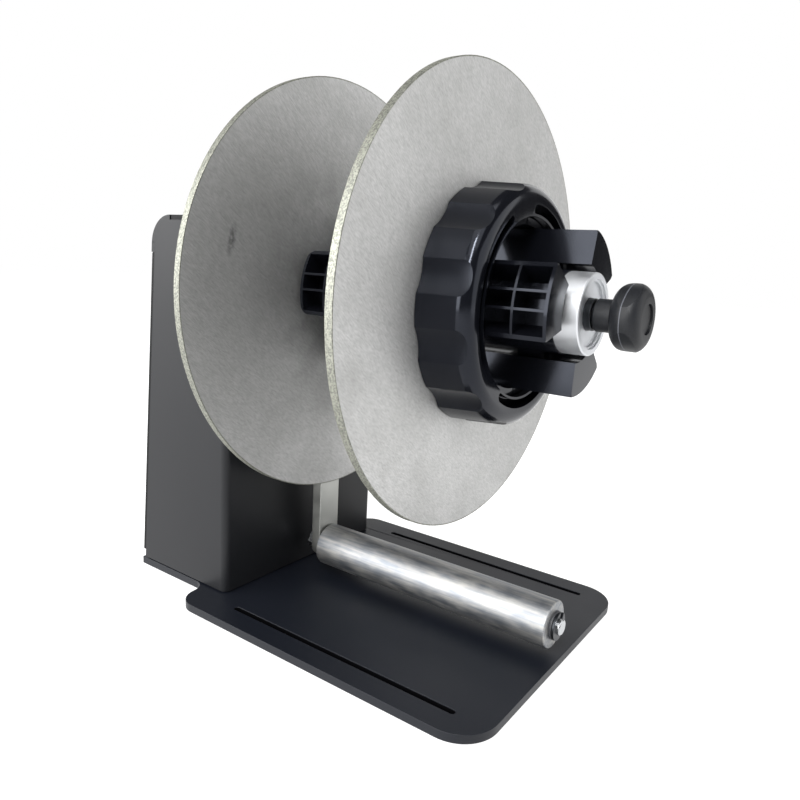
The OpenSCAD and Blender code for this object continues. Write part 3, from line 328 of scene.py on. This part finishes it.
def black_moulding():
    """Injection-moulded black ABS: a soft gloss with slight flow marks."""
    flow_width = 18 * MM
    grain_width = 0.7 * MM
    grain_depth = 0.008 * MM
    material, tree, place = blank("moulded black plastic")
    flow = add(tree, "TexNoise", {"Vector": place, "Scale": 1 / flow_width, "Detail": 3.0})
    grain = add(tree, "TexNoise", {"Vector": place, "Scale": 1 / grain_width, "Detail": 1.0})
    rough = add(tree, "MapRange", {"Value": flow, **NOISE, "To Min": 0.13, "To Max": 0.19})
    skin = add(tree, "Bump", {"Height": grain, "Strength": 0.25, "Distance": grain_depth})
    plastic = add(tree, "BsdfPrincipled", {"Base Color": rgb("#0b0c10"), "Roughness": rough,
                                           "IOR": 1.53, "Specular IOR Level": 0.26,
                                           "Specular Tint": rgb("#e6edff"), "Normal": skin})
    add(tree, "OutputMaterial", {"Surface": plastic})
    return material


def matt_nylon():
    """Glass-filled nylon from a spark-eroded mould: matt, finely grained, with a parting line painted
    lighter as its highlight.
    """
    grain_width = 0.55 * MM
    grain_depth = 0.04 * MM
    parting_y = KNOB_LOW.y + 7.6 * MM
    line_core = 0.12 * MM
    line_edge = 0.3 * MM
    material, tree, place = blank("matt moulded nylon")
    grain = add(tree, "TexNoise", {"Vector": place, "Scale": 1 / grain_width, "Detail": 2.0})
    y = add(tree, "SeparateXYZ", {0: place}, "Y")
    gap = add(tree, "Math", {0: y, 1: -parting_y}, operation="ADD")
    gap = add(tree, "Math", {0: gap}, operation="ABSOLUTE")
    line = add(tree, "MapRange", {"Value": gap, "From Min": line_core, "From Max": line_edge,
                                  "To Min": 1.0, "To Max": 0.0})
    speck = add(tree, "MapRange", {"Value": grain, **NOISE})
    tone = add(tree, "Mix", {SHARE: speck, COLOUR_A: rgb("#0d0e11"), COLOUR_B: rgb("#15171b")},
               **COLOUR_MIX)
    # The parting line is a real ridge in the relief; its lighter grey is a painted highlight
    tone = add(tree, "Mix", {SHARE: line, COLOUR_A: tone, COLOUR_B: rgb("#4c4e54")}, **COLOUR_MIX)
    relief = add(tree, "Math", {0: grain, 1: line}, operation="ADD")
    skin = add(tree, "Bump", {"Height": relief, "Strength": 0.45, "Distance": grain_depth})
    plastic = add(tree, "BsdfPrincipled", {"Base Color": tone, "Roughness": 0.46, "IOR": 1.53,
                                           "Specular IOR Level": 0.26, "Normal": skin})
    add(tree, "OutputMaterial", {"Surface": plastic})
    return material


def plain_finish(name, colour, roughness, grain_mm, depth_mm, metallic=1.0):
    """An even finish with a fine grain: bare or plated metal, or plastic, rubber or felt."""
    material, tree, place = blank(name)
    grain = add(tree, "TexNoise", {"Vector": place, "Scale": 1 / (grain_mm * MM), "Detail": 3.0})
    rough = add(tree, "MapRange", {"Value": grain, **NOISE,
                                   "To Min": roughness * 0.85, "To Max": roughness * 1.1})
    skin = add(tree, "Bump", {"Height": grain, "Strength": 0.4, "Distance": depth_mm * MM})
    surface = add(tree, "BsdfPrincipled", {"Base Color": rgb(colour), "Metallic": metallic,
                                           "Roughness": rough, "Normal": skin})
    add(tree, "OutputMaterial", {"Surface": surface})
    return material


# Finishes by the record's material slots. A plain finish has a roughness, and its grain's width
# and depth in millimetres. It gives the eye one even tone, broken slightly by the grain: dull on
# rubber and felt, satin on the plastic, the bronze and the casting, and bright on the steels
FINISHES = {
    "powder_coat": powder_coat("satin powder coat", "#121316", 0.3),
    "turned_aluminium": turned_aluminium(),
    "roller_aluminium": drawn_tube(),
    "arm_steel": satin_bar(),
    "black_plastic": black_moulding(),
    "knob_plastic": matt_nylon(),
    "bush_plastic": plain_finish("slide bearing plastic", "#3a3b3e", 0.45, 0.6, 0.02, metallic=0.0),
    "rubber": plain_finish("moulded rubber", "#131314", 0.75, 0.8, 0.04, metallic=0.0),
    "felt": plain_finish("pressed wool felt", "#cfc8b8", 0.9, 0.5, 0.2, metallic=0.0),
    "zinc_steel": plain_finish("bright zinc plate", "#a9acae", 0.28, 1.5, 0.01),
    "black_steel": plain_finish("blackened steel", "#3a3c3f", 0.38, 1.0, 0.01),
    "cast_aluminium": plain_finish("machined aluminium casting", "#97999b", 0.42, 0.8, 0.02),
    "bearing_steel": plain_finish("polished bearing steel", "#c2c4c7", 0.14, 2.0, 0.003),
    "ground_steel": plain_finish("ground steel", "#b0b2b4", 0.25, 1.0, 0.006),
    "bronze": plain_finish("sintered bronze", "#b08a4f", 0.4, 0.8, 0.015),
}

# Sheet pieces whose material differs from that of their slot; the cover's is the walls' coat made
# darker and duller, a painted shade
SHEETS = {
    "base_plate": powder_coat("satin powder coat, slotted plate", "#0c0f16", 0.3, slots=True),
    # The cover: the walls' coat made darker and duller as painted shade
    "rear_cover": powder_coat("satin powder coat, cover, painted shade", "#08090b", 0.12),
    "inner_flange": mill_sheet("mill sheet, inner disc", core_shade_and_mark=True),
    "outer_flange": mill_sheet("mill sheet, outer disc", core_shade_and_mark=False),
}
for name, piece in NODES.items():
    piece.data.materials.clear()
    piece.data.materials.append(SHEETS.get(name) or FINISHES[SLOTS[name]])


# Pieces
def in_scene(name, data):
    """A new object that shows this data, linked into the scene."""
    made = bpy.data.objects.new(name, data)
    bpy.context.scene.collection.objects.link(made)
    return made


def stand_in(piece, node):
    """Puts a piece on its node's body, in its place, and hides the node."""
    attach(piece, NODES[node]["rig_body"])
    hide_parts(node)


def soft_edges(piece, width):
    """Rounds a piece's edges in two steps over this width, and gives the modifier back."""
    rounding = piece.modifiers.new("soft edges", "BEVEL")
    rounding.width = width
    rounding.segments = 2
    rounding.harden_normals = True
    return rounding


# How a CAD mesh is merged: doubles within WELD, faces flat to FLAT, edges sharp from SHARP up
WELD = 0.002 * MM
FLAT = math.radians(0.4)
SHARP = math.radians(14)


def on_side_rim(edge):
    """Says whether an edge is the rim of a side wall: on its outer face, off its foot and its front."""
    face_x = SHELL_HIGH.x - 0.1 * MM
    foot_z = SHELL_LOW.z + 8 * MM
    front_y = SHELL_LOW.y + 12 * MM
    on_face = all(abs(v.co.x) > face_x and v.co.z > foot_z for v in edge.verts)
    return on_face and any(v.co.y > front_y for v in edge.verts)


def soft_copy(node, edge_mm, rim_mm=0.0):
    """Copies a CAD node, merges its loose triangles, smooths its curves and rounds its edges.

    Sharp edges get a round of edge_mm or, where rim_mm is given, of rim_mm on the side walls' rims.
    """
    mesh = NODES[node].data.copy()
    mesh.name = node + "_dressed"
    work = bmesh.new()
    work.from_mesh(mesh)
    bmesh.ops.remove_doubles(work, verts=work.verts, dist=WELD)
    bmesh.ops.dissolve_degenerate(work, edges=work.edges, dist=WELD)
    bmesh.ops.dissolve_limit(work, angle_limit=FLAT, verts=work.verts, edges=work.edges)
    widest = max(edge_mm, rim_mm)
    weight = work.edges.layers.float.new("bevel_weight_edge")
    for edge in work.edges:
        sharp = len(edge.link_faces) != 2 or edge.calc_face_angle(0) >= SHARP
        edge.smooth = not sharp
        if sharp:
            edge[weight] = (rim_mm if rim_mm and on_side_rim(edge) else edge_mm) / widest
    for face in work.faces:
        face.smooth = True
    work.to_mesh(mesh)
    work.free()
    piece = in_scene(node + "_piece", mesh)
    soft_edges(piece, widest * MM).limit_method = "WEIGHT"
    stand_in(piece, node)


# Rounded edges, in millimetres, of the pieces that are seen
EDGES = {
    "base_plate": 0.5, "inner_flange": 0.3, "outer_flange": 0.3,
    "lock_ring": 0.35, "end_collar": 0.25, "swing_arm": 0.5, "jaw_left": 0.3, "jaw_upper": 0.3,
    "jaw_lower": 0.3, "guide_roller": 0.2, "roller_bushes": 0.15, "roller_clip": 0.12,
    "collet_hub": 0.3, "chuck_body": 0.3, "clamp_knob": 0.4, "knob_cap": 0.1, "draw_sleeve": 0.2,
}
for name, edge_mm in EDGES.items():
    soft_copy(name, edge_mm)
soft_copy("housing_shell", 0.3, rim_mm=1.2)

# The rear cover's outline, as the housing has it
COVER_SLOPE = math.radians(4.46)
COVER_FOLD = 16 * MM
COVER_T = 2.6 * MM

# The ears of the side walls: how far they reach below the fold, and the notch under each
EAR_REACH = 5.2 * MM
NOTCH = 0.5 * MM


def cover_rows():
    """The cover's rows from its foot to its front: their places in Y and Z, and their half widths.

    The back leans by COVER_SLOPE, the fold is an arc of radius COVER_FOLD, and the top is level.
    A row on a straight run lies at its own distance from the fold's end, below it or ahead of it.
    The third value is the number of the band just under each ear, which widens to the walls.
    """
    set_in = 0.5 * MM
    groove_depth = 0.3 * MM
    step = 0.01 * MM
    overlap = 0.4 * MM
    fold_rows = 25
    edge = SHELL_HIGH.x - set_in
    groove = edge - groove_depth
    centre_z = COVER_HIGH.z - COVER_FOLD
    rise = centre_z - COVER_LOW.z
    centre_y = COVER_HIGH.y - rise * math.tan(COVER_SLOPE) - COVER_FOLD / math.cos(COVER_SLOPE)
    angle = np.linspace(COVER_SLOPE, math.pi / 2, fold_rows)
    arc = COVER_FOLD * np.stack([np.cos(angle), np.sin(angle)], axis=1)
    fold = np.array([centre_y, centre_z]) + arc
    up = np.array([-math.sin(COVER_SLOPE), math.cos(COVER_SLOPE)])
    forwards = np.array([-1.0, 0.0])
    below = np.array([
        ((fold[0, 1] - COVER_LOW.z) / up[1], edge),
        (EAR_REACH + NOTCH, edge),
        (EAR_REACH + NOTCH - step, groove),
        (EAR_REACH + step, groove),
        (EAR_REACH, SHELL_HIGH.x),
        (-overlap, SHELL_HIGH.x),
    ])
    ahead = np.array([(NOTCH, edge), (fold[-1, 0] - COVER_LOW.y, edge)])
    back = fold[0] - up * below[:, :1]
    top = fold[-1] + forwards * ahead[:, :1]
    between_ears = np.full(len(fold) - 2, COVER_HIGH.x)
    path = np.concatenate([back, fold[1:-1], top])
    half = np.concatenate([below[:, 1], between_ears, ahead[:, 1]])
    return path, half, len(below) - 2


def cover_sheet():
    """The bent rear cover, full width on its straight runs and narrower between the walls' ears.

    The surface is path(s) + x: x runs from -half(s) to half(s), past two inner lines that are straight.
    The band just under each ear has the walls' coat and makes the ear longer. The rest has a darker
    copy of that coat, a painted shade. Solidify gives the sheet its thickness.
    """
    rounded_width = 0.15 * MM
    rounded_angle = math.radians(40)
    path, half, ear_band = cover_rows()
    inner = np.full(len(path), COVER_HIGH.x - NOTCH)
    across = np.stack([-half, -inner, inner, half], axis=1)
    columns = across.shape[1]
    along = np.broadcast_to(path[:, None, :], (len(path), columns, 2))
    points = np.concatenate([across[:, :, None], along], axis=2)
    row, column = np.meshgrid(np.arange(len(path) - 1), np.arange(columns - 1), indexing="ij")
    first = (row * columns + column).ravel()
    faces = np.stack([first, first + columns, first + columns + 1, first + 1], axis=1)
    mesh = bpy.data.meshes.new("rear_cover_dressed")
    mesh.from_pydata(points.reshape(-1, 3).tolist(), [], faces.tolist())
    # First the darker copy of the coat, a painted shade, then the walls' own coat for the ear bands
    mesh.materials.append(SHEETS["rear_cover"])
    mesh.materials.append(FINISHES["powder_coat"])
    on_ear = (row == ear_band) & (column != 1)
    mesh.polygons.foreach_set("material_index", on_ear.ravel().astype(np.int32))
    mesh.shade_smooth()
    piece = in_scene("rear_cover_piece", mesh)
    wall = piece.modifiers.new("sheet thickness", "SOLIDIFY")
    wall.thickness = COVER_T
    wall.offset = -1
    soft_edges(piece, rounded_width).angle_limit = rounded_angle
    stand_in(piece, "rear_cover")


cover_sheet()

# Camera, fitted to the photograph's frame of 800 by 800 pixels
FRAME_PX = 800
FOCAL_PX = 697.78
SENSOR_MM = 36
CAMERA_PLACE = (-0.30233, -0.22007, 0.19367)
YAW = -54.891
PITCH = 11.511
ROLL = 3.014


def look_from(place, yaw, pitch, roll):
    """Camera matrix from its place and its yaw, pitch and roll in degrees."""
    a, b, c = (math.radians(angle) for angle in (yaw, pitch, roll))
    back = Vector((math.sin(a) * math.cos(b), -math.cos(a) * math.cos(b), math.sin(b)))
    level = Vector((math.cos(a), math.sin(a), 0))
    rise = back.cross(level)
    right = math.cos(c) * level + math.sin(c) * rise
    up = math.cos(c) * rise - math.sin(c) * level
    turn = Matrix((right, up, back)).transposed().to_4x4()
    return Matrix.Translation(place) @ turn


lens = bpy.data.cameras.new("camera")
lens.sensor_width = SENSOR_MM
lens.lens = FOCAL_PX / FRAME_PX * SENSOR_MM
lens.clip_start = 10 * MM
camera = in_scene("camera", lens)
camera.matrix_world = look_from(CAMERA_PLACE, YAW, PITCH, ROLL)
bpy.context.scene.camera = camera


# Floor and light
def outside_plate_shadow(tree, place):
    """Zero in a painted shadow under the plate in front of the housing, and one away from it.

    It is the distance from a rectangle that is inset from the plate's edges, divided by the fade.
    """
    inset = 20 * MM
    fade = 6 * MM
    near = Vector((PLATE_LOW.x + inset, PLATE_LOW.y + inset, 0))
    far = Vector((PLATE_HIGH.x - inset, SHELL_LOW.y, 0))
    middle = (near + far) / 2
    reach = (far - near) / 2
    away = add(tree, "VectorMath", {0: place, 1: middle}, operation="SUBTRACT")
    away = add(tree, "VectorMath", {0: away}, operation="ABSOLUTE")
    away = add(tree, "VectorMath", {0: away, 1: reach}, operation="SUBTRACT")
    away = add(tree, "VectorMath", {0: away, 1: (0, 0, 0)}, operation="MAXIMUM")
    gap = add(tree, "VectorMath", {0: away}, "Value", operation="LENGTH")
    return add(tree, "MapRange", {"Value": gap, "From Min": 0.0, "From Max": fade})


def light_table(size, glow):
    """A lit white table top with a painted shadow under the plate, dark and unlit there, so that its
    two slots look dark.
    """
    half = size / 2
    corners = [(-half, -half, 0), (half, -half, 0), (half, half, 0), (-half, half, 0)]
    mesh = bpy.data.meshes.new("light table")
    mesh.from_pydata(corners, [], [(0, 1, 2, 3)])
    material, tree, place = blank("lit opal acrylic")
    clear = outside_plate_shadow(tree, place)
    # Painted shadow: dark and without glow under the plate, fading out past its edge
    shade = add(tree, "Mix", {SHARE: clear, COLOUR_A: rgb("#060606"), COLOUR_B: rgb("#8c8c8c")},
                **COLOUR_MIX)
    lit = add(tree, "Math", {0: clear, 1: glow}, operation="MULTIPLY")
    acrylic = add(tree, "BsdfPrincipled", {"Base Color": shade, "Roughness": 0.9,
                                           "Emission Color": rgb("#ffffff"), "Emission Strength": lit})
    add(tree, "OutputMaterial", {"Surface": acrylic})
    mesh.materials.append(material)
    in_scene("light_table", mesh)


def studio(backdrop, walls):
    """A white backdrop in a dim room: the camera sees it brighter than the light that it gives."""
    world = bpy.data.worlds.new("studio")
    world.use_nodes = True
    tree = world.node_tree
    tree.nodes.clear()
    seen = add(tree, "LightPath", out="Is Camera Ray")
    strength = add(tree, "MapRange", {"Value": seen, "To Min": walls, "To Max": backdrop})
    light = add(tree, "Background", {"Color": rgb("#ffffff"), "Strength": strength})
    add(tree, "OutputWorld", {"Surface": light})
    bpy.context.scene.world = world


def softbox(name, place, target, width, height, brightness):
    """A rectangular soft light aimed at a target, with a power that grows with its area."""
    data = bpy.data.lights.new(name, "AREA")
    data.shape = "RECTANGLE"
    data.size = width
    data.size_y = height
    data.energy = brightness * math.pi * width * height
    lamp = in_scene(name, data)
    lamp.location = place
    lamp.rotation_euler = (Vector(target) - Vector(place)).to_track_quat("-Z", "Y").to_euler()


# Each softbox: place, target, width and height in metres, and brightness
MACHINE = (0, 0, 0.12)
HOUSING = (0, 0.1, 0.12)
SOFTBOXES = {
    "left softbox": ((-1.35, 0.75, 0.7), HOUSING, 2.2, 1.3, 6.8),
    "overhead softbox": ((-0.4, -0.2, 1.4), MACHINE, 1.2, 1.2, 2.1),
    "window strip": ((-1.1, -0.5, 1.2), MACHINE, 0.16, 1.1, 44),
    "front fill": ((0.7, -1.7, 0.65), MACHINE, 2.2, 1.5, 1.7),
    "right softbox": ((1.5, 0.5, 0.8), MACHINE, 2.2, 0.9, 1.2),
    "rear softbox": ((0.2, 1.8, 0.7), MACHINE, 2.0, 1.2, 1.0),
}
light_table(size=9, glow=0.97)
studio(backdrop=1.0, walls=0.06)
for name, setup in SOFTBOXES.items():
    softbox(name, *setup)
bpy.context.scene.view_settings.view_transform = "Standard"
